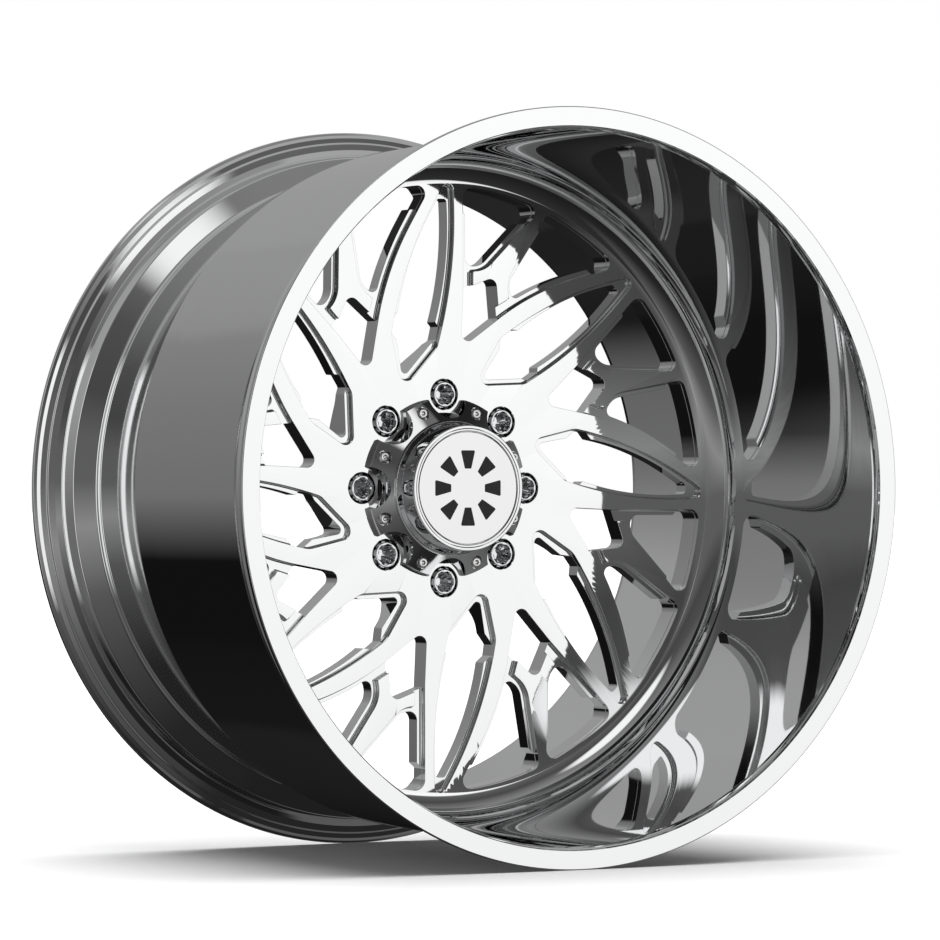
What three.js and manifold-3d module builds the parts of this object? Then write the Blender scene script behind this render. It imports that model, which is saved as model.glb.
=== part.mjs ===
// Deep-dish forged racing wheel, 24 x 14 inch, eight lugs on 165.1 mm.
// Millimetres, +Z up. The wheel's axis is Y, its street face looks along -Y, and the origin is on the
// axis at mid-width. Profiles are written as [radius, depth], where depth is the distance behind the
// front plane of the outer lip, and plan outlines as [x, z] in the plane of the spokes, tip up.
import * as THREE from "three";
import { mergeVertices } from "three/addons/utils/BufferGeometryUtils.js";
import Module from "manifold-3d";

const wasm = await Module();
wasm.setup();

// ---------------------------------------------------------------- driving dimensions
const FLANGE_R = 322;          // outer radius of both rim flanges
const WIDTH = 398;             // overall width over the flanges
const SECTORS = 8;             // the spoke pattern repeats eight times
const ROUND = 48;              // facets round the big turned pieces
const CAP_ROUND = 32;          // facets round the centre cap
const SMALL_ROUND = 16;        // facets round the nuts and their bores
const TINY_ROUND = 8;          // facets round screws and valve pieces
const GAP = 0.3;               // clearance kept between touching pieces
const ARC_SAG = 1;             // chord error allowed on a rounded outline
const PAST = 5;                // how far a cutter runs past the face it opens

const FACE = 231.5;            // depth of the flat spoke face
const SPOKE_BACK = 251.5;      // depth of the back of the spokes
const RING_BACK = 257.5;       // depth of the back of the centre's outer ring
const PAD = 275;               // depth of the hub mounting pad
const LEDGE = 5.5;             // depth of the milled ledge beside the windows
const DISH_R = 293.5;          // dish wall where it meets the fillet
const FILLET = 25;             // fillet between the face and the dish wall
const SEAM = DISH_R + 2.5;     // radius of the centre's conical seat in the inner barrel, at its front
const SEAM_BACK = 289.5;       // and at its back
const SEAM_DEPTH = 206.5;      // depth of the weld seam in the dish wall
const WINDOW_TOP = 267;        // radius of the windows' outer edge

const HUB_BORE_R = 62.5;
const LUG_CIRCLE_R = 82.55;    // 165.1 mm bolt circle
const LUG_BORE_R = 13.6;
const LUG_SEAT_DEPTH = 254;    // where the 60 degree seat begins
const STUD_HOLE_R = 8.5;
const NUT_R = 13.2;
const NUT_FRONT = 230.3;

const CAP_FACE = 188.6;        // front edge of the cap's rim
const CAP_R = 55.5;
const LOBE_R = 79.5;
const LOBE_EDGE = 225.5;       // depth of the lobes' front at their outer edge
const CAP_SCREW_R = 70.8;
const MEDALLION_R = 49.2;
const MEDALLION_FACE = 189.4;

const VALVE_DEPTH = 273;
const VALVE_ANGLE = 93.75;     // clockwise from the top, seen from the street side
const VALVE_WALL_R = 286.5;    // inside face of the rim wall where the valve stands
const VALVE_TILT = 10;         // the stem stands square to the wall's cone, leaning to the front
const VALVE_HOLE_R = 5.8;

// ---------------------------------------------------------------- finishes
const polished = { color: 0xd9dadc, roughness: 0.05, metalness: 1 };
const finishes = {
  forging: new THREE.MeshStandardMaterial(polished),
  barrel: new THREE.MeshStandardMaterial({ ...polished, roughness: 0.08 }),
  chrome: new THREE.MeshStandardMaterial({ color: 0xc8cacd, roughness: 0.04, metalness: 1 }),
  satin: new THREE.MeshStandardMaterial({ color: 0xcfd0d1, roughness: 0.45, metalness: 0.3 }),
  steel: new THREE.MeshStandardMaterial({ color: 0xb9bbbd, roughness: 0.25, metalness: 1 }),
  rubber: new THREE.MeshStandardMaterial({ color: 0x141414, roughness: 0.8, metalness: 0 }),
  brass: new THREE.MeshStandardMaterial({ color: 0xb08d4a, roughness: 0.35, metalness: 1 }),
};

// ---------------------------------------------------------------- solids
/** A closed three.js geometry as a manifold solid, turned right side out. */
function solid(geometry) {
  const source = geometry.index ? geometry : geometry.clone();
  source.deleteAttribute("normal");
  source.deleteAttribute("uv");
  const merged = mergeVertices(source, 1e-4);
  const vertProperties = new Float32Array(merged.attributes.position.array);
  const triVerts = dropSlivers(new Uint32Array(merged.index.array));
  if (signedVolume(vertProperties, triVerts) < 0) {
    triVerts.reverse();
  }
  return new wasm.Manifold(new wasm.Mesh({ numProp: 3, vertProperties, triVerts }));
}

/** Triangles without those that share a corner twice, as on a lathe's axis. */
function dropSlivers(tri) {
  const kept = [];
  for (let i = 0; i < tri.length; i += 3) {
    const [a, b, c] = [tri[i], tri[i + 1], tri[i + 2]];
    if (a !== b && b !== c && c !== a) {
      kept.push(a, b, c);
    }
  }
  return new Uint32Array(kept);
}

function signedVolume(points, tri) {
  const [a, b, c] = [new THREE.Vector3(), new THREE.Vector3(), new THREE.Vector3()];
  let six = 0;
  for (let i = 0; i < tri.length; i += 3) {
    a.fromArray(points, 3 * tri[i]);
    b.fromArray(points, 3 * tri[i + 1]);
    c.fromArray(points, 3 * tri[i + 2]);
    six += a.dot(b.cross(c));
  }
  return six / 6;
}

/** A named mesh from a manifold solid. */
function mesh(name, body, material) {
  const { vertProperties, triVerts } = body.getMesh();
  const geometry = new THREE.BufferGeometry();
  geometry.setAttribute("position", new THREE.BufferAttribute(new Float32Array(vertProperties), 3));
  geometry.setIndex(new THREE.BufferAttribute(new Uint32Array(triVerts), 1));
  geometry.computeVertexNormals();
  const made = new THREE.Mesh(geometry, material);
  made.name = name;
  return made;
}

/** A turned solid about the wheel's axis from a closed [radius, depth] profile. */
function turned(profile, facets = ROUND) {
  const points = [...profile, profile[0]].map(([r, depth]) => new THREE.Vector2(r, depth - WIDTH / 2));
  return solid(new THREE.LatheGeometry(points, facets));
}

/** An outline in the spoke plane as a prism between two depths. */
function prism(shape, from, to) {
  const geometry = new THREE.ExtrudeGeometry(shape, { depth: to - from, bevelEnabled: false });
  geometry.rotateX(Math.PI / 2);
  geometry.translate(0, to - WIDTH / 2, 0);
  return solid(geometry);
}

/** A solid turned clockwise about the wheel's axis, seen from the street side. */
const turnedBy = (body, degrees) => body.rotate([0, degrees, 0]);

/** The x, y, z offset of a point on a circle about the axis, clockwise from the top. */
function onCircle(radius, degrees) {
  const angle = THREE.MathUtils.degToRad(degrees);
  return [radius * Math.sin(angle), 0, radius * Math.cos(angle)];
}

const join = (bodies) => bodies.reduce((sum, body) => sum.add(body));

/** One copy of a body in every sector, joined. */
function allRound(body, offset = 0) {
  return join(Array.from({ length: SECTORS }, (_, k) => turnedBy(body, offset + (k * 360) / SECTORS)));
}

// ---------------------------------------------------------------- outlines
/** Points of a polygon whose corners are given as [x, z, radius] and rounded by true arcs. */
function roundedPoints(corners, sag = ARC_SAG) {
  const points = [];
  corners.forEach(([x, z, radius], i) => {
    const corner = new THREE.Vector2(x, z);
    const before = new THREE.Vector2(...corners.at(i - 1)).sub(corner).normalize();
    const after = new THREE.Vector2(...corners[(i + 1) % corners.length]).sub(corner).normalize();
    const half = Math.acos(THREE.MathUtils.clamp(before.dot(after), -1, 1)) / 2;
    const centre = before.clone().add(after).normalize().multiplyScalar(radius / Math.sin(half)).add(corner);
    const start = before.clone().multiplyScalar(radius / Math.tan(half)).add(corner).sub(centre);
    const turn = (Math.PI - 2 * half) * -Math.sign(before.cross(after));
    const steps = Math.max(1, Math.ceil(Math.abs(turn) / (2 * Math.acos(1 - sag / Math.max(radius, sag)))));
    for (let step = 0; step <= steps; step += 1) {
      points.push(start.clone().rotateAround(new THREE.Vector2(), (turn * step) / steps).add(centre));
    }
  });
  return points;
}

const roundedShape = (corners) => new THREE.Shape(roundedPoints(corners));

const CROWN_RIGHT = [58.8, 262.1, WINDOW_TOP];   // the windows' curved outer edge, right of the petal
const CROWN_LEFT = [-60.7, 262.1, WINDOW_TOP];   // and left of it

// The leaf-shaped window between the two legs of a spoke: its edge in the face, and the hole through.
const PETAL_EDGE = [
  [8.2, 281.4, 6], [13.5, 196, 379], [-6.8, 123.8, 10], [-42, 85.5, 8], [-53.2, 134.5, 20],
  [-40.2, 204, 349],
];
const PETAL_HOLE = [
  [5.2, 255, 3], [8.4, 196.8, 300], [-6.1, 146, 2], [-2.8, 142.5, 2], [-5.6, 130, 2], [-11, 126.7, 3],
  [-39.1, 96.1, 4], [-44.6, 129, 2], [-51.9, 138.5, 2], [-50.4, 149, 2], [-43.6, 154.5, 2],
  [-35.5, 202.2, 245], [-3.6, 255, 3],
];

// The window right of the petal, above the bridge. Its edge also takes in the channel milled between
// the leg and the end of the bridge's left fork.
const RIGHT_EDGE = [
  [19.4, 266.5, 9.2], CROWN_RIGHT, [99.4, 248.2, 8], [41.5, 191.9, 26], [29.6, 191.6, 1.5],
  [29.6, 168, 1], [19.4, 168, 1],
];
const RIGHT_HOLE = [
  [19.4, 266.5, 9.2], CROWN_RIGHT, [99.4, 248.2, 8], [86, 235.1, 2], [79.5, 235, 2], [40, 196.4, 18],
  [24.4, 196.4, 8], [24.4, 242, 2], [19.4, 246, 2],
];

// The window left of the petal, below the next bridge's stem, with its channel along the left leg.
const LEFT_EDGE = [
  [-13, 267.1, 7.5], [-58.4, 190.2, 260], [-67.6, 140, 1], [-78.4, 144, 1], [-71.7, 166, 1.5],
  [-85, 175.1, 28], [-97.7, 248.6, 7.6], CROWN_LEFT,
];
const LEFT_HOLE = [
  [-13, 267.1, 7.5], [-26, 245.1, 2], [-31.8, 245, 2], [-54.5, 206.5, 260], [-66.5, 168.4, 5.7],
  [-80.4, 178, 17], [-89.8, 232, 2], [-95.6, 236, 2], [-97.7, 248.6, 7.6], CROWN_LEFT,
];

// The five-sided window nearer the hub, under the bridge.
const FIVE_SIDED = [[19.5, 175.5, 0.5], [53, 187.5, 7], [56.5, 150.4, 0.5], [17.2, 123.2, 7]];

// ---------------------------------------------------------------- the forged centre
/** Points of the concave fillet from the spoke face up into the dish wall. */
function dishFillet(steps = 4) {
  return Array.from({ length: steps + 1 }, (_, i) => {
    const angle = (Math.PI / 2) * (1 - i / steps);
    return [DISH_R - FILLET + FILLET * Math.cos(angle), SEAM_DEPTH + FILLET * Math.sin(angle)];
  });
}

function centreBlank() {
  return turned([
    [HUB_BORE_R, FACE], ...dishFillet(), [SEAM, SEAM_DEPTH], [SEAM_BACK, RING_BACK],
    [WINDOW_TOP - 5, RING_BACK], [WINDOW_TOP - 11, SPOKE_BACK], [126, SPOKE_BACK], [100, PAD],
    [HUB_BORE_R, PAD],
  ]);
}

function windowCutters() {
  const floor = FACE + LEDGE;
  const above = FACE - PAST;
  const below = PAD + PAST;
  return join([
    prism(roundedShape(PETAL_EDGE), above, floor),
    prism(roundedShape(PETAL_HOLE), above, below),
    prism(roundedShape(RIGHT_EDGE), above, floor),
    prism(roundedShape(RIGHT_HOLE), above, below),
    prism(roundedShape(LEFT_EDGE), above, floor),
    prism(roundedShape(LEFT_HOLE), above, below),
    prism(roundedShape(FIVE_SIDED), above, below),
  ]);
}

/** A stepped bore about the wheel's axis: turned, then moved out to a hole circle. */
function boredAt(profile, radius, degrees, facets) {
  return turned(profile, facets).translate(onCircle(radius, degrees));
}

function lugBore() {
  const seat = (LUG_BORE_R - STUD_HOLE_R) / Math.tan(Math.PI / 6);
  return boredAt([
    [0, FACE - PAST], [LUG_BORE_R, FACE - PAST], [LUG_BORE_R, LUG_SEAT_DEPTH],
    [STUD_HOLE_R, LUG_SEAT_DEPTH + seat], [STUD_HOLE_R, PAD + PAST], [0, PAD + PAST],
  ], LUG_CIRCLE_R, 0, SMALL_ROUND);
}

function capScrewHole() {
  return boredAt([[0, FACE - PAST], [2.9, FACE - PAST], [2.9, FACE + 14], [0, FACE + 14]],
    CAP_SCREW_R, 0, TINY_ROUND);
}

function wheelCentre() {
  return centreBlank()
    .subtract(allRound(windowCutters()))
    .subtract(allRound(lugBore()))
    .subtract(allRound(capScrewHole(), 360 / SECTORS / 2));
}

// ---------------------------------------------------------------- the rim halves
function outerLip() {
  const edge = FLANGE_R;
  return turned([
    [305.6, 0], [edge - 0.8, 0], [edge, 0.8], [edge, 4.6], [316, 5.6], [309, 9.5], [306.8, 17],
    [306.8, 32], [308.4, 37], [306.3, 44], [301.2, SEAM_DEPTH - GAP], [DISH_R, SEAM_DEPTH - GAP],
    [302.8, 6],
  ]);
}

function innerBarrel() {
  const edge = FLANGE_R;
  return turned([
    [SEAM + GAP, SEAM_DEPTH], [301.2, SEAM_DEPTH], [300.4, 238], [280, 353], [298, 363.5], [299, 367.5],
    [301.4, 379], [306, 383.8], [312, 386], [312.8, 387.6], [317.5, 389.2], [edge, 394], [edge, WIDTH],
    [311, WIDTH], [304, 388.5], [294, 380], [292, 368], [273, 356], [273, 353],
    [SEAM_BACK + GAP, RING_BACK + GAP],
  ]);
}

// ---------------------------------------------------------------- lug nuts
/** A fluted outline: a circle whose radius drops into a groove at every other point. */
function flutedShape(outer, inner, flutes) {
  const points = Array.from({ length: flutes * 4 }, (_, i) => {
    const [x, , z] = onCircle(i % 4 < 2 ? outer : inner, ((i + 0.5) * 90) / flutes);
    return new THREE.Vector2(x, z);
  });
  return new THREE.Shape(points.reverse());
}

/** A splined conical-seat nut on the axis: flutes outside, a splined key socket in front. */
function lugNut() {
  const flutes = 7;
  const seatTop = LUG_SEAT_DEPTH - 0.4;
  const end = seatTop + (NUT_R - 8) / Math.tan(Math.PI / 6);
  const envelope = turned([
    [0, NUT_FRONT], [NUT_R - 1.2, NUT_FRONT], [NUT_R, NUT_FRONT + 1.2], [NUT_R, seatTop], [8, end], [0, end],
  ], SMALL_ROUND);
  const flank = prism(flutedShape(NUT_R + 0.1, NUT_R - 1.2, flutes), NUT_FRONT - 1, NUT_FRONT + 17);
  const skirt = turned([[0, NUT_FRONT + 17], [NUT_R + 1, NUT_FRONT + 17], [NUT_R + 1, end], [0, end]],
    SMALL_ROUND);
  const socket = prism(flutedShape(10.2, 9, 3), NUT_FRONT - 1, NUT_FRONT + 11);
  const drop = turned([
    [0, NUT_FRONT + 10.9], [9, NUT_FRONT + 10.9], [7.6, NUT_FRONT + 13], [0, NUT_FRONT + 13],
  ], TINY_ROUND);
  const thread = turned([[0, NUT_FRONT + 16], [6.4, NUT_FRONT + 16], [6.4, end + 1], [0, end + 1]],
    TINY_ROUND);
  return envelope.intersect(flank.add(skirt)).subtract(socket.add(drop)).subtract(thread);
}

// ---------------------------------------------------------------- the centre cap
/** Room for one lug nut, cut out of the cap's flange and flaring towards the front. */
function nutScallop() {
  return boredAt([[0, CAP_FACE], [24.6, CAP_FACE + 12], [18, FACE], [18, FACE + 9], [0, FACE + 9]],
    LUG_CIRCLE_R, 0, SMALL_ROUND);
}

function capScrewSeat() {
  return boredAt([
    [0, LOBE_EDGE - 12], [5.6, LOBE_EDGE - 12], [5.6, LOBE_EDGE - 1.5], [2.9, LOBE_EDGE - 1.5],
    [2.9, FACE + PAST], [0, FACE + PAST],
  ], CAP_SCREW_R, 0, TINY_ROUND);
}

function capShell() {
  const base = FACE - GAP;
  const blank = turned([
    [MEDALLION_R + GAP, CAP_FACE + 1.2], [MEDALLION_R + 1.3, CAP_FACE], [CAP_R - 1.4, CAP_FACE],
    [CAP_R, CAP_FACE + 1.4], [CAP_R, 211], [57, 214.5], [60.5, 216.2], [LOBE_R - 1, LOBE_EDGE - 0.4],
    [LOBE_R, LOBE_EDGE + 0.8], [LOBE_R, base], [66.9, base], [66.9, base - 2.2], [64.1, base - 2.2],
    [64.1, base], [HUB_BORE_R - GAP, base], [HUB_BORE_R - GAP, FACE + 8], [59, FACE + 8], [59, 222],
    [CAP_R - 4, 213], [CAP_R - 4, 197], [CAP_R - 6, 195], [0, 195], [0, MEDALLION_FACE + 2.4],
    [MEDALLION_R + GAP, MEDALLION_FACE + 2.4],
  ], CAP_ROUND);
  return blank
    .subtract(allRound(nutScallop()))
    .subtract(allRound(capScrewSeat(), 360 / SECTORS / 2));
}

function medallion() {
  const back = MEDALLION_FACE + 2.1;
  return turned([
    [0, MEDALLION_FACE], [MEDALLION_R - 0.6, MEDALLION_FACE], [MEDALLION_R, MEDALLION_FACE + 0.6],
    [MEDALLION_R, back], [0, back],
  ], CAP_ROUND);
}

function capSeal() {
  const top = FACE - GAP - 1.9;
  return turned([[64.5, top], [66.5, top], [66.5, FACE - 0.25], [64.5, FACE - 0.25]], CAP_ROUND);
}

/** A button-head screw with a hex socket, on the axis. */
function capScrew() {
  const headTop = LOBE_EDGE - 4.9;
  const underHead = LOBE_EDGE - 1.8;
  const body = turned([
    [0, headTop], [3.6, headTop], [4.9, headTop + 1.2], [4.9, underHead], [2.5, underHead],
    [2.5, FACE + 12], [0, FACE + 12],
  ], TINY_ROUND);
  const hexKey = turned([[0, headTop - 1], [2.3, headTop - 1], [2.3, headTop + 2], [0, headTop + 2]], 6);
  return body.subtract(hexKey);
}

// ---------------------------------------------------------------- the tyre valve
/** A valve piece turned about its own stem: [radius, height], height counted in from the rim wall. */
function valvePiece(profile, facets = TINY_ROUND) {
  const points = [...profile, profile[0]].map(([r, height]) => new THREE.Vector2(r, height));
  const stem = solid(new THREE.LatheGeometry(points, facets));
  const upright = stem.rotate([-90 - VALVE_TILT, 0, 0])
    .translate([0, VALVE_DEPTH - WIDTH / 2, VALVE_WALL_R]);
  return turnedBy(upright, VALVE_ANGLE);
}

const valveHole = () => valvePiece([[0, -20], [VALVE_HOLE_R, -20], [VALVE_HOLE_R, 12], [0, 12]]);

function valvePieces() {
  return {
    valve_stem: [valvePiece([
      [1.2, -10.4], [7.2, -10.4], [8.2, -9.4], [8.2, -8.8], [4.1, -8.8], [4.1, 22], [3.8, 33], [2.3, 33],
      [2.3, 8], [1.2, 8],
    ]), finishes.chrome],
    valve_seal: [valvePiece([[4.4, -8.5], [8.6, -8.5], [8.6, -7.3], [5.5, -7.3], [5.5, -0.4], [4.4, -0.4]]),
      finishes.rubber],
    valve_washer: [valvePiece([[4.4, 0.3], [8.4, 0.3], [8.4, 1.6], [4.4, 1.6]]), finishes.steel],
    valve_nut: [valvePiece([[5.1, 1.9], [7.6, 1.9], [7.6, 8.2], [5.1, 8.2]], 6), finishes.chrome],
    valve_core: [valvePiece([[1.1, 9], [2, 9], [2, 31], [1.1, 31]]), finishes.brass],
    valve_core_pin: [valvePiece([[0, 8.9], [0.8, 8.9], [0.8, 32.2], [0, 32.2]]), finishes.brass],
    valve_cap: [valvePiece([
      [4.4, 24], [5.4, 24], [5.4, 35.6], [4.6, 36.6], [0, 36.6], [0, 33.9], [4.4, 33.9],
    ]), finishes.chrome],
  };
}

// ---------------------------------------------------------------- assembly
const wheel = new THREE.Group();
wheel.add(mesh("wheel_centre", wheelCentre(), finishes.forging));
wheel.add(mesh("outer_lip", outerLip(), finishes.barrel));
wheel.add(mesh("inner_barrel", innerBarrel().subtract(valveHole()), finishes.barrel));

/** One mesh per sector of a small piece that stands on a hole circle. */
function addRing(name, body, material, radius, offset) {
  for (let k = 0; k < SECTORS; k += 1) {
    const piece = mesh(`${name}_${k + 1}`, body, material);
    const angle = offset + (k * 360) / SECTORS;
    piece.position.fromArray(onCircle(radius, angle));
    piece.rotation.y = THREE.MathUtils.degToRad(angle);
    wheel.add(piece);
  }
}

addRing("lug_nut", lugNut(), finishes.chrome, LUG_CIRCLE_R, 0);
wheel.add(mesh("cap_shell", capShell(), finishes.forging));
wheel.add(mesh("cap_medallion", medallion(), finishes.satin));
wheel.add(mesh("cap_seal", capSeal(), finishes.rubber));
addRing("cap_screw", capScrew(), finishes.steel, CAP_SCREW_R, 360 / SECTORS / 2);

for (const [name, [body, material]] of Object.entries(valvePieces())) {
  wheel.add(mesh(name, body, material));
}

export default wheel;
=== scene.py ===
"""The looks of a deep-dish forged wheel: polished rim and spokes, chrome nuts, screwed centre cap.

Plan outlines are [x, z, corner radius] and turned profiles [radius, depth, corner radius], in
millimetres; depth is counted from the front plane of the outer lip. Everything made from them is in
metres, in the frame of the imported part: the axis is Y and the street face looks along -Y.
"""

import math

import bmesh
import bpy
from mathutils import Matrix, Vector


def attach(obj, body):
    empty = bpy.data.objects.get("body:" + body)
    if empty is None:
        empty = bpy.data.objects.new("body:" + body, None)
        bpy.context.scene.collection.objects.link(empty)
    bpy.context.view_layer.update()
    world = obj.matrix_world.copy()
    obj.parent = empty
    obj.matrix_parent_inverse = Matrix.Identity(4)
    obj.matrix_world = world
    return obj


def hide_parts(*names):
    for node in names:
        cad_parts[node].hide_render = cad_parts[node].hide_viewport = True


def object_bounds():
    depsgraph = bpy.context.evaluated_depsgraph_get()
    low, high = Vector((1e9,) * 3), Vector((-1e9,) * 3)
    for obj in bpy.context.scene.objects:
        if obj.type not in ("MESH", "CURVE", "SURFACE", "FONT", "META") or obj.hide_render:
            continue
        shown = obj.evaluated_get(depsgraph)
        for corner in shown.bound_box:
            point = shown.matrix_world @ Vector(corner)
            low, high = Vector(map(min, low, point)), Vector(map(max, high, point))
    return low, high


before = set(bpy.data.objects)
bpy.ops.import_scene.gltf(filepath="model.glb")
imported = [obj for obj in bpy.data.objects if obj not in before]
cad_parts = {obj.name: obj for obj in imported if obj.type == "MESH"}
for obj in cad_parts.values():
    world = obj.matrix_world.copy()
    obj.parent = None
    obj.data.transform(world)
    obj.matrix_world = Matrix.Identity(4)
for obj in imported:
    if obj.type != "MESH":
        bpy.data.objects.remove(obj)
CAD_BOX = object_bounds()

MM = 0.001
FRONT_Y = CAD_BOX[0].y                 # the lip's front plane
FLOOR_Z = CAD_BOX[0].z
SECTORS = 8
SECTOR = 360 / SECTORS

# depths and radii shared by several pieces, in millimetres
WIDTH = (CAD_BOX[1].y - CAD_BOX[0].y) / MM
FLANGE_R = CAD_BOX[1].x / MM
FACE = 231.5                           # the flat spoke face
SPOKE_BACK = 251.5
RING_BACK = 257.5                      # back of the centre's outer ring
PAD = 275.0                            # the hub mounting pad
LEDGE = 5.5                            # the milled ledge beside the windows, below the face
COVE = 1.8                             # radius where a ledge meets its wall
EDGE_BREAK = 0.3                       # chamfer on a machined edge
PAST = 5                               # how far a cutter runs past the surface it opens
SEAM_DEPTH = 206.5                     # the weld seam in the dish wall
SEAM_R = 296.0                         # the centre's conical seat, at its front
SEAM_BACK_R = 289.5                    # and at its back
BARREL_R = 301.2                       # outside of the barrel at the seam
DISH_FRONT = (302.6, 8.0)              # the conical dish wall from here
DISH_REAR = (293.5, SEAM_DEPTH)        # to here
FILLET = 25.0                          # between the dish wall and the face
WINDOW_TOP = 267.0                     # radius of the windows' outer edge
HUB_BORE_R = 62.5
LUG_R = 82.55                          # the bolt circle
LUG_BORE_R = 13.6
LUG_SEAT_DEPTH = 254.0
STUD_HOLE_R = 8.5
SEAT_SLOPE = math.tan(math.radians(30))
NUT_R = 13.2
NUT_FRONT = 230.3
NUT_FLUTES = 10
KEY_FLUTES = 6
CAP_FACE = 188.6
CAP_R = 55.5
LOBE_R = 79.5
LOBE_EDGE = 225.5                      # front of the cap's lobes at their outer edge
SCREW_R = 70.8                         # the cap's screw circle
SCREW_HOLE_R = 2.9
DISC_R = 49.2
DISC_FACE = 189.4
DISC_BACK = DISC_FACE + 2.1
VALVE_DEPTH = 273.0
VALVE_ANGLE = 93.75                    # degrees clockwise from the top
VALVE_WALL_R = 286.5
VALVE_TILT = math.radians(10)
VALVE_HOLE_R = 5.8

SMOOTH = 512                           # facets round the big turned surfaces
CAP_FACETS = 256                       # round the centre cap
RING_FACETS = 128                      # round its scallops and its seal
FINE = 96                              # round the lug nuts and their bores
SCREW_FACETS = 64
VALVE_FACETS = 48
PIN_FACETS = 24
HEXAGON = 6
WELD = 2e-6                            # metres within which two corners are one
ON_AXIS = 1e-4                         # millimetres within which a point lies on the axis


# ---------------------------------------------------------------- outlines
def arc_points(before, corner, after, radius, sag):
    """The arc that rounds one corner of an outline, as points."""
    here = Vector(corner)
    to_before = (Vector(before) - here).normalized()
    to_after = (Vector(after) - here).normalized()
    half = to_before.angle(to_after) / 2
    if radius <= 0 or half > math.pi / 2 - 1e-4:
        return [here]
    centre = here + (to_before + to_after).normalized() * radius / math.sin(half)
    start = here + to_before * radius / math.tan(half) - centre
    turn = math.pi - 2 * half
    if to_before.cross(to_after) > 0:
        turn = -turn
    steps = max(2, math.ceil(abs(turn) / (2 * math.acos(1 - min(0.5, sag / radius)))))
    points = []
    for i in range(steps + 1):
        a = turn * i / steps
        points.append(centre + Vector((start.x * math.cos(a) - start.y * math.sin(a),
                                       start.x * math.sin(a) + start.y * math.cos(a))))
    return points


def rounded(corners, sag=0.02):
    """A closed outline of [a, b] or [a, b, radius] corners, its corners turned into arcs."""
    count = len(corners)
    points = []
    for i, corner in enumerate(corners):
        radius = corner[2] if len(corner) > 2 else 0
        points += arc_points(corners[i - 1][:2], corner[:2], corners[(i + 1) % count][:2], radius, sag)
    return points


def area(points):
    """The signed area of an outline, whose sign tells which way round it runs."""
    return sum(a[0] * b[1] - b[0] * a[1] for a, b in zip(points, points[1:] + points[:1])) / 2


def inset(points, distance):
    """The same outline moved inwards along its own normals, point by point."""
    side = math.copysign(1, area(points))
    moved = []
    for i, here in enumerate(points):
        before = (here - points[i - 1]).normalized()
        after = (points[(i + 1) % len(points)] - here).normalized()
        normal = Vector((-before.y - after.y, before.x + after.x)) * side
        if normal.length < 1e-6:
            normal = Vector((-before.y, before.x)) * side
        reach = normal.normalized()
        stretch = max(0.5, reach.dot(Vector((-before.y, before.x)) * side))
        moved.append(here + reach * distance / stretch)
    return moved


def clean(points, shortest=0.004):
    """An outline without points that lie on top of each other."""
    return [p for i, p in enumerate(points) if (p - points[i - 1]).length > shortest]


CROWN_RIGHT = [58.8, 262.1, WINDOW_TOP]     # the windows' curved outer edge, right of the petal
CROWN_LEFT = [-60.7, 262.1, WINDOW_TOP]     # and left of it

# each window's edge in the face, down to the ledge, and the hole on through
PETAL_EDGE = [
    [8.2, 281.4, 6], [13.5, 196, 379], [-6.8, 123.8, 10], [-42, 85.5, 8], [-53.2, 134.5, 20],
    [-40.2, 204, 349],
]
PETAL_HOLE = [
    [5.2, 255, 3], [8.4, 196.8, 300], [-6.1, 146, 2], [-2.8, 142.5, 2], [-5.6, 130, 2],
    [-11, 126.7, 3], [-39.1, 96.1, 4], [-44.6, 129, 2], [-51.9, 138.5, 2], [-50.4, 149, 2],
    [-43.6, 154.5, 2], [-35.5, 202.2, 245], [-3.6, 255, 3],
]
RIGHT_EDGE = [
    [19.4, 266.5, 9.2], CROWN_RIGHT, [99.4, 248.2, 8], [41.5, 191.9, 26], [29.6, 191.6, 1.5],
    [29.6, 168, 1], [19.4, 168, 1],
]
RIGHT_HOLE = [
    [19.4, 266.5, 9.2], CROWN_RIGHT, [99.4, 248.2, 8], [86, 235.1, 2], [79.5, 235, 2],
    [40, 196.4, 18], [24.4, 196.4, 8], [24.4, 242, 2], [19.4, 246, 2],
]
LEFT_EDGE = [
    [-13, 267.1, 7.5], [-58.4, 190.2, 260], [-67.6, 140, 1], [-78.4, 144, 1], [-71.7, 166, 1.5],
    [-85, 175.1, 28], [-97.7, 248.6, 7.6], CROWN_LEFT,
]
LEFT_HOLE = [
    [-13, 267.1, 7.5], [-26, 245.1, 2], [-31.8, 245, 2], [-54.5, 206.5, 260], [-66.5, 168.4, 5.7],
    [-80.4, 178, 17], [-89.8, 232, 2], [-95.6, 236, 2], [-97.7, 248.6, 7.6], CROWN_LEFT,
]
FIVE_SIDED = [[19.5, 175.5, 0.5], [53, 187.5, 7], [56.5, 150.4, 0.5], [17.2, 123.2, 7]]


# ---------------------------------------------------------------- meshes
def place(x, z, depth):
    """A point of the wheel in metres, from its plan position and depth in millimetres."""
    return (x * MM, FRONT_Y + depth * MM, z * MM)


def new_object(name, vertices, faces):
    """A mesh object in the scene."""
    mesh = bpy.data.meshes.new(name)
    mesh.from_pydata(vertices, [], faces)
    mesh.validate()
    made = bpy.data.objects.new(name, mesh)
    bpy.context.scene.collection.objects.link(made)
    return made


def face_outwards(obj):
    """Turns every face's normal to the outside of a closed mesh."""
    work = bmesh.new()
    work.from_mesh(obj.data)
    bmesh.ops.recalc_face_normals(work, faces=work.faces)
    work.to_mesh(obj.data)
    work.free()


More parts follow.
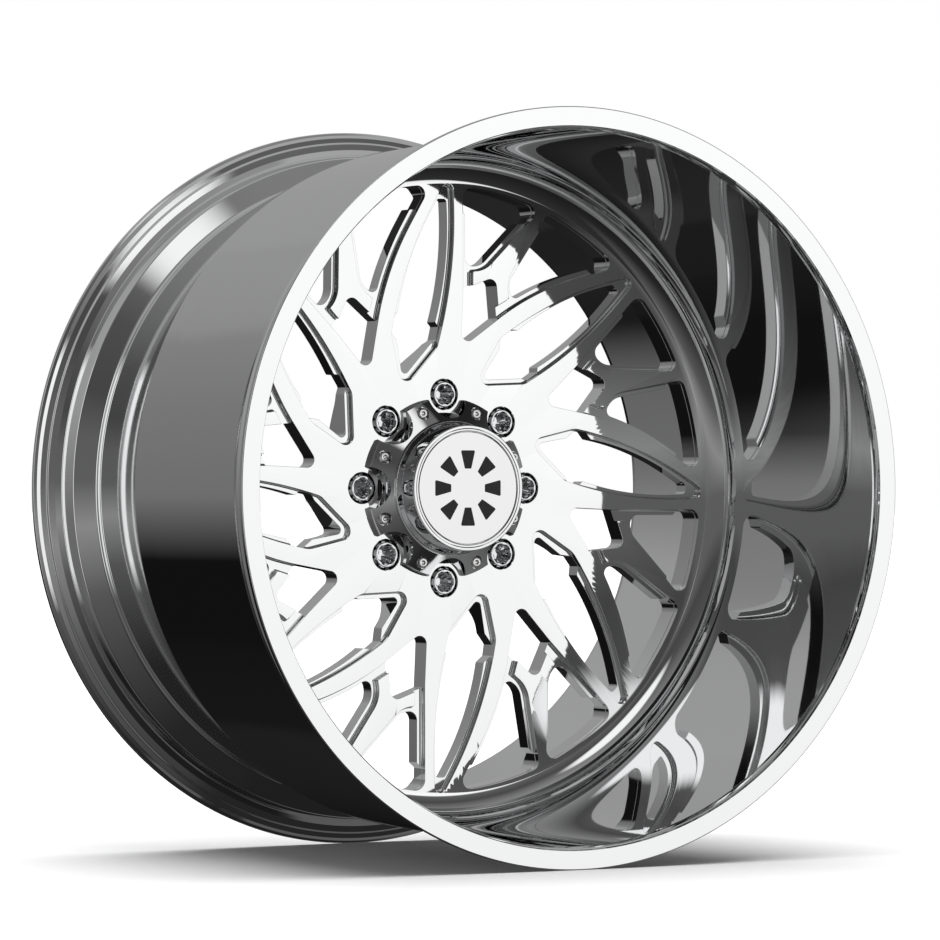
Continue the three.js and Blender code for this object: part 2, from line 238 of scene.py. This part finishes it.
def turned(name, corners, facets=SMOOTH, centre=(0, 0), sag=0.02):
    """A closed [radius, depth, corner radius] profile turned about an axis along Y."""
    profile = clean(rounded(corners, sag))
    x, z = centre
    vertices, rings = [], []
    for radius, depth in profile:
        if radius < ON_AXIS:
            rings.append([len(vertices)])
            vertices.append(place(x, z, depth))
            continue
        rings.append(list(range(len(vertices), len(vertices) + facets)))
        for i in range(facets):
            a = 2 * math.pi * i / facets
            vertices.append(place(x + radius * math.sin(a), z + radius * math.cos(a), depth))
    faces = []
    for ring, after in zip(rings, rings[1:] + rings[:1]):
        if len(ring) == 1 and len(after) == 1:
            continue
        for i in range(facets):
            j = (i + 1) % facets
            quad = [ring[i % len(ring)], ring[j % len(ring)],
                    after[j % len(after)], after[i % len(after)]]
            faces.append(list(dict.fromkeys(quad)))
    made = new_object(name, vertices, faces)
    face_outwards(made)
    return made


def lofted(name, outlines):
    """A closed solid through (outline, depth) pairs that all have the same number of points."""
    count = len(outlines[0][0])
    vertices = [place(p[0], p[1], depth) for outline, depth in outlines for p in outline]
    faces = [list(range(count)), list(range(len(vertices) - count, len(vertices)))]
    for level in range(len(outlines) - 1):
        base = level * count
        for i in range(count):
            j = (i + 1) % count
            faces.append([base + i, base + j, base + count + j, base + count + i])
    made = new_object(name, vertices, faces)
    face_outwards(made)
    return made


def turned_about_axis(obj, degrees):
    """Turns a mesh about the wheel's axis, clockwise as seen from the street side."""
    a = math.radians(degrees)
    for vertex in obj.data.vertices:
        x, z = vertex.co.x, vertex.co.z
        vertex.co.x = x * math.cos(a) + z * math.sin(a)
        vertex.co.z = z * math.cos(a) - x * math.sin(a)
    return obj


def copied(obj, name, degrees):
    """A turned copy of an object."""
    twin = bpy.data.objects.new(name, obj.data.copy())
    bpy.context.scene.collection.objects.link(twin)
    return turned_about_axis(twin, degrees)


def joined(objects, name):
    """Several separate meshes as one object."""
    vertices, faces = [], []
    for obj in objects:
        base = len(vertices)
        vertices += [v.co.copy() for v in obj.data.vertices]
        faces += [[base + i for i in p.vertices] for p in obj.data.polygons]
        bpy.data.objects.remove(obj)
    return new_object(name, vertices, faces)


def all_round(obj, offset=0):
    """One copy of a cutter in every sector, as one object."""
    copies = [copied(obj, f"{obj.name}_{k}", offset + k * SECTOR) for k in range(SECTORS)]
    name = obj.name
    bpy.data.objects.remove(obj)
    return joined(copies, f"{name}_ring")


def cut(obj, cutter, operation="DIFFERENCE"):
    """A boolean with a cutter that is used up by it."""
    modifier = obj.modifiers.new("cut", "BOOLEAN")
    modifier.operation = operation
    modifier.solver = "MANIFOLD"
    modifier.object = cutter
    settle(obj)
    bpy.data.objects.remove(cutter)


def settle(obj):
    """Applies an object's modifiers to its mesh."""
    graph = bpy.context.evaluated_depsgraph_get()
    mesh = bpy.data.meshes.new_from_object(obj.evaluated_get(graph))
    obj.modifiers.clear()
    obj.data = mesh


def welded(obj):
    """Joins corners that a boolean left on top of each other, which takes its slivers out."""
    mesh = bmesh.new()
    mesh.from_mesh(obj.data)
    bmesh.ops.remove_doubles(mesh, verts=mesh.verts, dist=WELD)
    mesh.to_mesh(obj.data)
    mesh.free()


def shaded(obj, sharp=28):
    """Smooth shading that keeps flat faces flat and edges over the given angle sharp."""
    welded(obj)
    obj.data.shade_smooth()
    obj.data.set_sharp_from_angle(angle=math.radians(sharp))
    modifier = obj.modifiers.new("weighted", "WEIGHTED_NORMAL")
    modifier.mode = "FACE_AREA"
    modifier.weight = 100
    modifier.keep_sharp = True
    settle(obj)
    return obj


# ---------------------------------------------------------------- materials
def material(name, colour, metallic, roughness):
    """A material with its node tree and its shader."""
    made = bpy.data.materials.new(name)
    made.use_nodes = True
    shader = made.node_tree.nodes["Principled BSDF"]
    shader.inputs["Base Color"].default_value = (*colour, 1)
    shader.inputs["Metallic"].default_value = metallic
    shader.inputs["Roughness"].default_value = roughness
    return made, made.node_tree, shader


def lathe_lines(tree, lines_per_m):
    """A noise that is even round the wheel's axis and varies across it, as fine turning marks do."""
    nodes, links = tree.nodes, tree.links
    coordinates = nodes.new("ShaderNodeTexCoord")
    flat = nodes.new("ShaderNodeVectorMath")
    flat.operation = "MULTIPLY"
    flat.inputs[1].default_value = (1, 0, 1)
    length = nodes.new("ShaderNodeVectorMath")
    length.operation = "LENGTH"
    split = nodes.new("ShaderNodeSeparateXYZ")
    both = nodes.new("ShaderNodeCombineXYZ")
    noise = nodes.new("ShaderNodeTexNoise")
    noise.inputs["Scale"].default_value = lines_per_m
    noise.inputs["Detail"].default_value = 3
    links.new(coordinates.outputs["Object"], flat.inputs[0])
    links.new(flat.outputs[0], length.inputs[0])
    links.new(coordinates.outputs["Object"], split.inputs[0])
    links.new(length.outputs["Value"], both.inputs[0])
    links.new(split.outputs["Y"], both.inputs[1])
    links.new(both.outputs[0], noise.inputs["Vector"])
    return noise.outputs["Fac"]


def plain_noise(tree, scale):
    """An even grain with the given number of features per metre."""
    noise = tree.nodes.new("ShaderNodeTexNoise")
    noise.inputs["Scale"].default_value = scale
    noise.inputs["Detail"].default_value = 4
    coordinates = tree.nodes.new("ShaderNodeTexCoord")
    tree.links.new(coordinates.outputs["Object"], noise.inputs["Vector"])
    return noise.outputs["Fac"]


def ranged(tree, value, low, high):
    """A noise's usual 0.3 to 0.7 mapped to a range."""
    node = tree.nodes.new("ShaderNodeMapRange")
    node.inputs["From Min"].default_value = 0.3
    node.inputs["From Max"].default_value = 0.7
    node.inputs["To Min"].default_value = low
    node.inputs["To Max"].default_value = high
    tree.links.new(value, node.inputs["Value"])
    return node.outputs["Result"]


def bumped(tree, shader, value, distance):
    """Raises a noise out of the surface by a distance in metres."""
    node = tree.nodes.new("ShaderNodeBump")
    node.inputs["Strength"].default_value = 1
    node.inputs["Distance"].default_value = distance
    tree.links.new(value, node.inputs["Height"])
    tree.links.new(node.outputs[0], shader.inputs["Normal"])


def polished_metal(name, colour, low, high, lines):
    """Turned and polished metal, whose roughness varies in fine rings."""
    made, tree, shader = material(name, colour, 1, low)
    rings = lathe_lines(tree, lines)
    tree.links.new(ranged(tree, rings, low, high), shader.inputs["Roughness"])
    return made


def satin_metal():
    """Satin aluminium with an even grain, for the cap's disc."""
    made, tree, shader = material("satin_disc", (0.84, 0.84, 0.84), 1, 0.1)
    grain = plain_noise(tree, 2600)
    tree.links.new(ranged(tree, grain, 0.07, 0.11), shader.inputs["Roughness"])
    return made


def black_enamel():
    made, tree, shader = material("black_enamel", (0.012, 0.012, 0.012), 0, 0.35)
    grain = plain_noise(tree, 900)
    tree.links.new(ranged(tree, grain, 0.3, 0.42), shader.inputs["Roughness"])
    return made


def rubber():
    made, tree, shader = material("rubber_seal", (0.018, 0.018, 0.019), 0, 0.8)
    grain = plain_noise(tree, 1500)
    tree.links.new(ranged(tree, grain, 0.65, 0.9), shader.inputs["Roughness"])
    bumped(tree, shader, grain, 0.00004)
    return made


ALUMINIUM = (0.90, 0.903, 0.908)
FACE_POLISH = polished_metal("polished_centre", ALUMINIUM, 0.022, 0.034, lines=4000)
LIP_POLISH = polished_metal("polished_lip", ALUMINIUM, 0.015, 0.03, lines=3000)
BARREL_POLISH = polished_metal("polished_barrel", ALUMINIUM, 0.03, 0.06, lines=1500)
CAP_POLISH = polished_metal("polished_cap", (0.86, 0.863, 0.868), 0.02, 0.05, lines=900)
CHROME = polished_metal("chrome", (0.80, 0.805, 0.815), 0.03, 0.06, lines=3000)
STAINLESS = polished_metal("stainless", (0.74, 0.74, 0.735), 0.12, 0.2, lines=4000)
BRASS = polished_metal("brass", (0.70, 0.53, 0.25), 0.2, 0.32, lines=4000)
SATIN = satin_metal()
ENAMEL = black_enamel()
RUBBER = rubber()


def finished(obj, finish, body, slot, *nodes):
    """Gives a piece its material and the body it rides on, and hides the CAD nodes it stands for; the
    slot is not used.
    """
    obj.data.materials.clear()
    obj.data.materials.append(finish)
    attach(obj, body)
    if nodes:
        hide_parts(*nodes)
    return obj


# ---------------------------------------------------------------- the forged centre
def dish_radius(depth):
    """Radius of the straight conical dish wall at a depth."""
    (r0, s0), (r1, s1) = DISH_FRONT, DISH_REAR
    return r0 + (r1 - r0) * (depth - s0) / (s1 - s0)


def broken_edge(depth):
    """The levels (depth, inset) of a small chamfer that starts at a depth below the face."""
    return [(depth, -EDGE_BREAK), (depth + EDGE_BREAK * 0.3, -EDGE_BREAK * 0.3), (depth + EDGE_BREAK, 0)]


def pocket_cutter(corners, name):
    """Cuts a window's ledge: a broken edge in the face, a straight wall, a cove and a flat floor."""
    base = clean(rounded(corners))
    levels = [(-PAST, -EDGE_BREAK), *broken_edge(0), (LEDGE - COVE, 0)]
    steps = 6
    for i in range(1, steps + 1):
        a = math.pi / 2 * i / steps
        levels.append((LEDGE - COVE + COVE * math.sin(a), COVE * (1 - math.cos(a))))
    return lofted(name, [(inset(base, move), FACE + depth) for depth, move in levels])


def hole_cutter(corners, name, edge=LEDGE):
    """Cuts a window right through, with its edge broken where it meets the given depth."""
    base = clean(rounded(corners))
    levels = [(-PAST - 1, -EDGE_BREAK), *broken_edge(edge), (PAD - FACE + PAST, 0)]
    return lofted(name, [(inset(base, move), FACE + depth) for depth, move in levels])


def wheel_centre():
    """The forging: a turned blank, its windows cut through, and its nut and screw holes."""
    blank = turned("wheel_centre_shown", [
        [HUB_BORE_R, FACE, 0.5], [WINDOW_TOP + 1, FACE], [dish_radius(FACE), FACE, FILLET],
        [dish_radius(SEAM_DEPTH), SEAM_DEPTH], [SEAM_R, SEAM_DEPTH], [SEAM_BACK_R, RING_BACK],
        [WINDOW_TOP - 5, RING_BACK, 3], [WINDOW_TOP - 11, SPOKE_BACK, 3],
        [126, SPOKE_BACK, 20], [100, PAD, 3], [HUB_BORE_R, PAD, 1],
    ], sag=0.01)
    pockets = [("petal_edge", PETAL_EDGE), ("right_edge", RIGHT_EDGE), ("left_edge", LEFT_EDGE)]
    for name, corners in pockets:
        cut(blank, all_round(pocket_cutter(corners, name)))
    holes = [("petal_hole", PETAL_HOLE, LEDGE), ("right_hole", RIGHT_HOLE, LEDGE),
             ("left_hole", LEFT_HOLE, LEDGE), ("five_sided", FIVE_SIDED, 0)]
    for name, corners, edge in holes:
        cut(blank, all_round(hole_cutter(corners, name, edge)))
    seat = (LUG_BORE_R - STUD_HOLE_R) / SEAT_SLOPE
    mouth_r = LUG_BORE_R + 0.5
    cut(blank, all_round(turned("lug_bore", [
        [0, FACE - PAST], [mouth_r, FACE - PAST], [mouth_r, FACE], [LUG_BORE_R, FACE + 0.5],
        [LUG_BORE_R, LUG_SEAT_DEPTH], [STUD_HOLE_R, LUG_SEAT_DEPTH + seat],
        [STUD_HOLE_R, PAD + PAST], [0, PAD + PAST],
    ], FINE, (0, LUG_R))))
    cut(blank, all_round(turned("screw_hole", [
        [0, FACE - PAST], [SCREW_HOLE_R, FACE - PAST], [SCREW_HOLE_R, FACE + 14], [0, FACE + 14],
    ], PIN_FACETS, (0, SCREW_R)), SECTOR / 2))
    return finished(shaded(blank), FACE_POLISH, "wheel", "forged_aluminium", "wheel_centre")


# ---------------------------------------------------------------- the rim halves
def valve_turned(name, corners, facets):
    """A solid turned about the valve's stem: [radius, height], height counted in from the rim wall."""
    piece = turned(name, corners, facets)
    for vertex in piece.data.vertices:
        across, height, along = vertex.co.x, vertex.co.y - FRONT_Y, vertex.co.z
        depth = along * math.cos(VALVE_TILT) - height * math.sin(VALVE_TILT)
        inwards = height * math.cos(VALVE_TILT) + along * math.sin(VALVE_TILT)
        vertex.co = (across, FRONT_Y + VALVE_DEPTH * MM + depth, VALVE_WALL_R * MM - inwards)
    turned_about_axis(piece, VALVE_ANGLE)
    face_outwards(piece)
    return piece


def outer_lip():
    """The outer rim half: flange, bead seat and barrel outside, the straight dish wall inside."""
    edge = FLANGE_R
    lip = turned("outer_lip_shown", [
        [305.6, 0, 0.3], [edge, 0, 0.9], [edge, 5, 1.2], [315, 5.6, 5], [308, 9.5, 6], [306.6, 18, 8],
        [306.8, 32, 10], [308.4, 37, 4], [306.3, 44, 8], [BARREL_R, SEAM_DEPTH], DISH_REAR,
        [*DISH_FRONT, 0.8], [303.4, 6.4, 0.5], [303.9, 3.2, 0.6], [305.0, 2.2, 0.6],
    ], sag=0.01)
    return finished(shaded(lip), LIP_POLISH, "wheel", "spun_aluminium", "outer_lip")


def inner_barrel():
    """The inner rim half: barrel, taper, step up to the bead seat, and the ringed rear flange."""
    edge = FLANGE_R
    back = WIDTH
    barrel = turned("inner_barrel_shown", [
        [SEAM_R, SEAM_DEPTH], [BARREL_R, SEAM_DEPTH], [300.4, 238, 5], [280, 348, 6], [280, 353.5, 4],
        [298, 363.5, 2.5], [299, 368, 4], [301.4, 379.5, 2], [306, 383.6, 1.5], [311.6, 385.6, 1],
        [312.8, 388, 1], [317.2, 389.4, 1], [319.5, 392.6, 1.5], [edge, 394, 1], [edge, back, 0.9],
        [311, back, 2], [304, 388.5, 6], [294, 380, 8], [292, 368, 6], [273, 357, 4], [273, 352, 6],
        [SEAM_BACK_R, RING_BACK],
    ], sag=0.02)
    cut(barrel, valve_turned("valve_hole", [
        [0, -20], [VALVE_HOLE_R + 0.6, -20], [VALVE_HOLE_R + 0.6, -6.9], [VALVE_HOLE_R, -6.3],
        [VALVE_HOLE_R, 12], [0, 12],
    ], VALVE_FACETS))
    return finished(shaded(barrel), BARREL_POLISH, "wheel", "spun_aluminium", "inner_barrel")


# ---------------------------------------------------------------- lug nuts
def fluted(outer, groove, flutes, centre):
    """A circle whose radius dips in an even groove once per flute."""
    points_each = 12
    count = flutes * points_each
    outline = []
    for i in range(count):
        a = 2 * math.pi * i / count
        dip = max(0, math.cos(flutes * a)) ** 0.7
        radius = outer - groove * dip
        outline.append(Vector((centre[0] + radius * math.sin(a), centre[1] + radius * math.cos(a))))
    return outline


def lug_nut(k):
    """A conical-seat nut with a splined outside and a deep splined key socket."""
    name = f"lug_nut_{k + 1}"
    centre = (0, LUG_R)
    seat_top = LUG_SEAT_DEPTH - 0.4
    end = seat_top + (NUT_R - 8) / SEAT_SLOPE
    nut = turned(f"{name}_shown", [
        [0, NUT_FRONT], [10.6, NUT_FRONT, 0.5], [NUT_R, NUT_FRONT + 3.4, 1], [NUT_R, seat_top, 1],
        [8, end, 0.5], [6.4, end], [6.4, NUT_FRONT + 16], [0, NUT_FRONT + 15],
    ], FINE, centre)
    flutes = fluted(NUT_R + 0.2, 2.2, NUT_FLUTES, centre)
    collar = fluted(NUT_R + 2.2, 0, NUT_FLUTES, centre)
    cut(nut, lofted("flutes", [
        (flutes, NUT_FRONT - 1), (flutes, NUT_FRONT + 16), (collar, NUT_FRONT + 18), (collar, end + 2),
    ]), "INTERSECT")
    mouth = fluted(9.6, 0.8, KEY_FLUTES, centre)
    socket = fluted(8.9, 1.3, KEY_FLUTES, centre)
    floor = fluted(4.4, 0, KEY_FLUTES, centre)
    cut(nut, lofted("socket", [
        (mouth, NUT_FRONT - 1), (mouth, NUT_FRONT), (socket, NUT_FRONT + 0.9),
        (socket, NUT_FRONT + 9), (floor, NUT_FRONT + 12.5),
    ]))
    turned_about_axis(nut, k * SECTOR)
    return finished(shaded(nut), CHROME, name, "chromed_steel", name)


# ---------------------------------------------------------------- the centre cap
def cap_shell():
    """The housing: a rim round the disc, a drum, and a flange cut into eight lobes by the nuts' room."""
    base = FACE - 0.05
    shell = turned("cap_shell_shown", [
        [DISC_R + 0.3, CAP_FACE + 1.2, 0.3], [DISC_R + 1, CAP_FACE + 0.3, 0.3], [51.6, CAP_FACE + 0.3],
        [52, CAP_FACE + 0.7], [52.4, CAP_FACE, 0.2], [CAP_R - 1, CAP_FACE, 0.4],
        [CAP_R - 0.2, CAP_FACE + 1, 0.5], [CAP_R, 209, 3], [58, 215.6, 5],
        [LOBE_R - 1, LOBE_EDGE - 0.4, 0.6], [LOBE_R, LOBE_EDGE + 0.8, 0.6], [LOBE_R, base],
        [HUB_BORE_R - 0.3, base], [HUB_BORE_R - 0.3, FACE + 8, 0.5], [59, FACE + 8], [59, 222],
        [CAP_R - 4, 213], [CAP_R - 4, 197], [CAP_R - 6, 195], [0, 195],
        [0, DISC_BACK + 0.3], [DISC_R + 0.3, DISC_BACK + 0.3],
    ], CAP_FACETS, sag=0.01)
    cut(shell, all_round(turned("scallop", [
        [0, CAP_FACE], [24.6, CAP_FACE + 12], [18, FACE], [18, FACE + 9], [0, FACE + 9],
    ], RING_FACETS, (0, LUG_R))))
    cut(shell, all_round(turned("seat", [
        [0, LOBE_EDGE - 12], [6.2, LOBE_EDGE - 12], [5.6, LOBE_EDGE - 3.6], [5.6, LOBE_EDGE - 1.5],
        [SCREW_HOLE_R, LOBE_EDGE - 1.5], [SCREW_HOLE_R, FACE + PAST], [0, FACE + PAST],
    ], SCREW_FACETS, (0, SCREW_R)), SECTOR / 2))
    return finished(shaded(shell), CAP_POLISH, "wheel", "cap_aluminium", "cap_shell")


def cap_disc():
    """The satin disc, let into the housing's rim."""
    disc = turned("cap_medallion_shown", [
        [0, DISC_FACE], [DISC_R, DISC_FACE, 0.5], [DISC_R, DISC_BACK], [0, DISC_BACK],
    ], CAP_FACETS)
    return finished(shaded(disc), SATIN, "wheel", "satin_disc", "cap_medallion")


def cap_inlay():
    """A plain ornament in the disc: eight short wedges round an open centre."""
    top = DISC_FACE - 0.12
    bottom = DISC_FACE + 0.2
    outline = clean(rounded([[-3.2, 17, 0.8], [-7.2, 33, 1.2], [7.2, 33, 1.2], [3.2, 17, 0.8]]))
    wedges = []
    for k in range(SECTORS):
        wedge = lofted(f"wedge_{k}", [(outline, top), (outline, bottom)])
        wedges.append(turned_about_axis(wedge, k * SECTOR))
    inlay = joined(wedges, "cap_inlay")
    return finished(shaded(inlay), ENAMEL, "wheel", "black_enamel")


def cap_seal():
    """The ring pressed between the housing's flange and the face."""
    seal = turned("cap_seal_shown", [
        [64.5, 229.6, 0.9], [66.5, 229.6, 0.9], [66.5, 231.2, 0.6], [64.5, 231.2, 0.6],
    ], RING_FACETS)
    return finished(shaded(seal), RUBBER, "wheel", "rubber", "cap_seal")


def cap_screw(k):
    """A button-head screw with a hexagon socket."""
    name = f"cap_screw_{k + 1}"
    top = LOBE_EDGE - 4.9
    under = LOBE_EDGE - 1.8
    centre = (0, SCREW_R)
    screw = turned(f"{name}_shown", [
        [0, top], [3.9, top, 0.8], [4.9, top + 1.6, 1], [4.9, under, 0.2], [2.5, under],
        [2.5, FACE + 12], [0, FACE + 12],
    ], SCREW_FACETS, centre)
    cut(screw, turned("hex_key", [
        [0, top - 1], [2.3, top - 1], [2.3, top + 2], [0, top + 2.6],
    ], HEXAGON, centre))
    turned_about_axis(screw, SECTOR / 2 + k * SECTOR)
    return finished(shaded(screw), STAINLESS, "wheel", "screw_steel", name)


# ---------------------------------------------------------------- the tyre valve
def valve_piece(name, corners, finish, slot, body="wheel", facets=VALVE_FACETS):
    """One piece of the valve, in its finish and on its body."""
    piece = valve_turned(f"{name}_shown", corners, facets)
    return finished(shaded(piece), finish, body, slot, name)


def valve():
    """The tyre valve from its head outside the rim wall to the cap, which points to the axis."""
    valve_piece("valve_stem", [
        [1.2, -10.4], [7.2, -10.4, 0.8], [8.2, -9.2, 0.4], [8.2, -8.7], [4.1, -8.7], [4.1, 22, 0.3],
        [3.8, 33], [2.3, 33], [2.3, 8], [1.2, 8],
    ], CHROME, "chromed_steel")
    valve_piece("valve_seal", [
        [4.4, -8.5], [8.6, -8.5, 0.5], [8.6, -7.1, 0.5], [5.5, -7.1], [5.5, -0.4, 0.4], [4.4, -0.4],
    ], RUBBER, "rubber")
    valve_piece("valve_washer", [[4.4, 0.3], [8.4, 0.3, 0.3], [8.4, 1.6, 0.3], [4.4, 1.6]],
                STAINLESS, "screw_steel")
    valve_piece("valve_nut", [[5.1, 1.9], [7.6, 1.9], [7.6, 8.2], [5.1, 8.2]],
                CHROME, "chromed_steel", facets=HEXAGON)
    valve_piece("valve_core", [[1.1, 9], [2, 9], [2, 31], [1.1, 31]], BRASS, "brass")
    valve_piece("valve_core_pin", [[0, 8.9], [0.8, 8.9], [0.8, 32.2, 0.3], [0, 32.2]],
                BRASS, "brass", "valve_core_pin", PIN_FACETS)
    valve_piece("valve_cap", [
        [4.4, 24], [5.4, 24, 0.4], [5.4, 36.6, 1.4], [0, 36.6], [0, 33.9], [4.4, 33.9],
    ], CHROME, "chromed_steel", "valve_cap")


wheel_centre()
outer_lip()
inner_barrel()
for number in range(SECTORS):
    lug_nut(number)
    cap_screw(number)
cap_shell()
cap_disc()
cap_inlay()
cap_seal()
valve()


# ---------------------------------------------------------------- camera
CAMERA_AZIMUTH = math.radians(-30.1)   # the camera stands to the left of the wheel's axis
CAMERA_PITCH = math.radians(0.2)
CAMERA_DISTANCE = 4.455                # metres from the lip's centre, along the view
CAMERA_RIGHT = -0.0933                 # the aim, right of the lip's centre
CAMERA_LIFT = 0.0152                   # and above it
SENSOR_WIDTH = 36
LENS = 202.4
CLIP_END = 200                         # metres

camera = bpy.data.objects.new("camera", bpy.data.cameras.new("camera"))
bpy.context.scene.collection.objects.link(camera)
camera.data.sensor_width = SENSOR_WIDTH
camera.data.lens = LENS
right = Vector((math.cos(CAMERA_AZIMUTH), math.sin(CAMERA_AZIMUTH), 0))
forward = Vector((-math.sin(CAMERA_AZIMUTH) * math.cos(CAMERA_PITCH),
                  math.cos(CAMERA_AZIMUTH) * math.cos(CAMERA_PITCH), math.sin(CAMERA_PITCH)))
up = right.cross(forward)
lip_centre = Vector((0, FRONT_Y, 0))
camera.location = lip_centre + right * CAMERA_RIGHT + up * CAMERA_LIFT - forward * CAMERA_DISTANCE
camera.rotation_mode = "QUATERNION"
camera.rotation_quaternion = forward.to_track_quat("-Z", "Y")
camera.data.clip_end = CLIP_END
bpy.context.scene.camera = camera


# ---------------------------------------------------------------- studio
FLOOR_REACH = 60                       # metres from the wheel to the floor's edges
SOFTBOX_HEIGHT = 38                    # degrees above the horizon
SUN_STRENGTH = 3.4
SUN_SPREAD = math.radians(70)


def studio_world():
    """What the polish reflects, zone by zone round the room, and plain white for the camera itself.

    Azimuths are counted from the street side, anticlockwise seen from above.
    """
    world = bpy.data.worlds.new("studio")
    bpy.context.scene.world = world
    world.use_nodes = True
    tree = world.node_tree
    nodes, links = tree.nodes, tree.links
    nodes.clear()
    direction = nodes.new("ShaderNodeTexCoord").outputs["Generated"]
    split = nodes.new("ShaderNodeSeparateXYZ")
    links.new(direction, split.inputs[0])

    def ramp(stops):
        """Brightness by height in the room: stops are (sine of elevation, brightness)."""
        shift = nodes.new("ShaderNodeMapRange")
        shift.inputs["From Min"].default_value = -1
        shift.inputs["From Max"].default_value = 1
        links.new(split.outputs["Z"], shift.inputs["Value"])
        node = nodes.new("ShaderNodeValToRGB")
        elements = node.color_ramp.elements
        while len(elements) < len(stops):
            elements.new(0.5)
        for element, (height, value) in zip(elements, stops):
            element.position = (height + 1) / 2
            element.color = (value, value, value, 1)
        links.new(shift.outputs["Result"], node.inputs["Fac"])
        return node.outputs["Color"]

    def towards(azimuth, inner, outer, elevation=None):
        """1 within the inner angle of a direction, 0 past the outer; at any height if none is given."""
        a = math.radians(azimuth)
        e = math.radians(elevation or 0)
        aimed = direction
        if elevation is None:
            level = nodes.new("ShaderNodeVectorMath")
            level.operation = "MULTIPLY"
            level.inputs[1].default_value = (1, 1, 0)
            links.new(direction, level.inputs[0])
            unit = nodes.new("ShaderNodeVectorMath")
            unit.operation = "NORMALIZE"
            links.new(level.outputs[0], unit.inputs[0])
            aimed = unit.outputs[0]
        dot = nodes.new("ShaderNodeVectorMath")
        dot.operation = "DOT_PRODUCT"
        dot.inputs[1].default_value = (
            math.sin(a) * math.cos(e), -math.cos(a) * math.cos(e), math.sin(e))
        links.new(aimed, dot.inputs[0])
        step = nodes.new("ShaderNodeMapRange")
        step.interpolation_type = "SMOOTHSTEP"
        step.inputs["From Min"].default_value = math.cos(math.radians(outer))
        step.inputs["From Max"].default_value = math.cos(math.radians(inner))
        links.new(dot.outputs["Value"], step.inputs["Value"])
        return step.outputs["Result"]

    def mixed(factor, first, second=None):
        """The first colour where the factor is 0; where it is 1, the second, or white without one."""
        node = nodes.new("ShaderNodeMix")
        node.data_type = "RGBA"
        links.new(factor, node.inputs["Factor"])
        links.new(first, node.inputs["A"])
        node.inputs["B"].default_value = (1, 1, 1, 1)
        if second:
            links.new(second, node.inputs["B"])
        return node.outputs["Result"]

    side = ramp([
        (-1, 0.03), (-0.5, 0.006), (-0.18, 0.006), (-0.02, 0.17), (0.2, 0.2), (0.35, 0.24), (0.5, 0.33),
        (1, 0.4),
    ])
    beside = ramp([(-1, 0.1), (-0.5, 0.13), (-0.1, 0.16), (0.3, 0.33), (1, 0.4)])
    right_of_wheel = ramp([
        (-1, 0.03), (-0.16, 0.006), (0, 0.02), (0.12, 0.36), (0.5, 0.32), (1, 0.4),
    ])
    behind_wheel = ramp([
        (-1, 0.02), (-0.3, 0.006), (-0.21, 0.03), (-0.14, 0.03), (-0.1, 0.064), (0.18, 0.07),
        (0.23, 0.24), (0.5, 0.33), (1, 0.4),
    ])
    front = ramp([
        (-1, 0.01), (-0.7, 0.02), (-0.52, 0.056), (-0.33, 0.1), (-0.12, 0.27), (0.02, 0.12),
        (0.16, 0.115), (0.3, 0.064), (0.5, 0.08), (0.8, 0.2), (1, 0.3),
    ])
    white_wall = ramp([
        (-1, 0.01), (-0.16, 0.03), (-0.1, 0.95), (0.1, 1.1), (0.17, 0.12), (0.5, 0.07), (1, 0.3),
    ])
    left_panel = ramp([(-1, 0.02), (-0.5, 0.1), (-0.35, 0.9), (0.5, 1), (0.6, 0.15), (1, 0.3)])
    room = mixed(towards(105, 35, 50), side, beside)
    room = mixed(towards(258, 30, 44), room, beside)
    room = mixed(towards(163, 12, 20), room, right_of_wheel)
    room = mixed(towards(186, 6, 9), room, behind_wheel)
    room = mixed(towards(-10, 55, 70), room, front)
    room = mixed(towards(30, 16, 24), room, white_wall)
    room = mixed(towards(-3, 9, 15, SOFTBOX_HEIGHT), room)
    room = mixed(towards(-84, 7, 12), room, left_panel)
    seen = nodes.new("ShaderNodeLightPath")
    colour = mixed(seen.outputs["Is Camera Ray"], room)
    background = nodes.new("ShaderNodeBackground")
    output = nodes.new("ShaderNodeOutputWorld")
    links.new(colour, background.inputs["Color"])
    links.new(background.outputs[0], output.inputs["Surface"])


def studio_floor():
    """A plain pale floor that lights nothing in the polished metal."""
    corners = [(-1, -1), (1, -1), (1, 1), (-1, 1)]
    floor = new_object("floor", [
        (x * FLOOR_REACH, y * FLOOR_REACH, FLOOR_Z) for x, y in corners
    ], [[0, 1, 2, 3]])
    made, _, shader = material("floor_paint", (0.93, 0.93, 0.93), 0, 0.9)
    shader.inputs["Specular IOR Level"].default_value = 0
    floor.data.materials.append(made)
    floor.visible_glossy = False


def overhead_light():
    """One very soft light from above, which draws the shadow on the floor."""
    lamp = bpy.data.lights.new("overhead", "SUN")
    lamp.energy = SUN_STRENGTH
    lamp.angle = SUN_SPREAD
    light = bpy.data.objects.new("overhead", lamp)
    light.visible_glossy = False
    bpy.context.scene.collection.objects.link(light)


studio_world()
studio_floor()
overhead_light()
bpy.context.scene.view_settings.view_transform = "Standard"
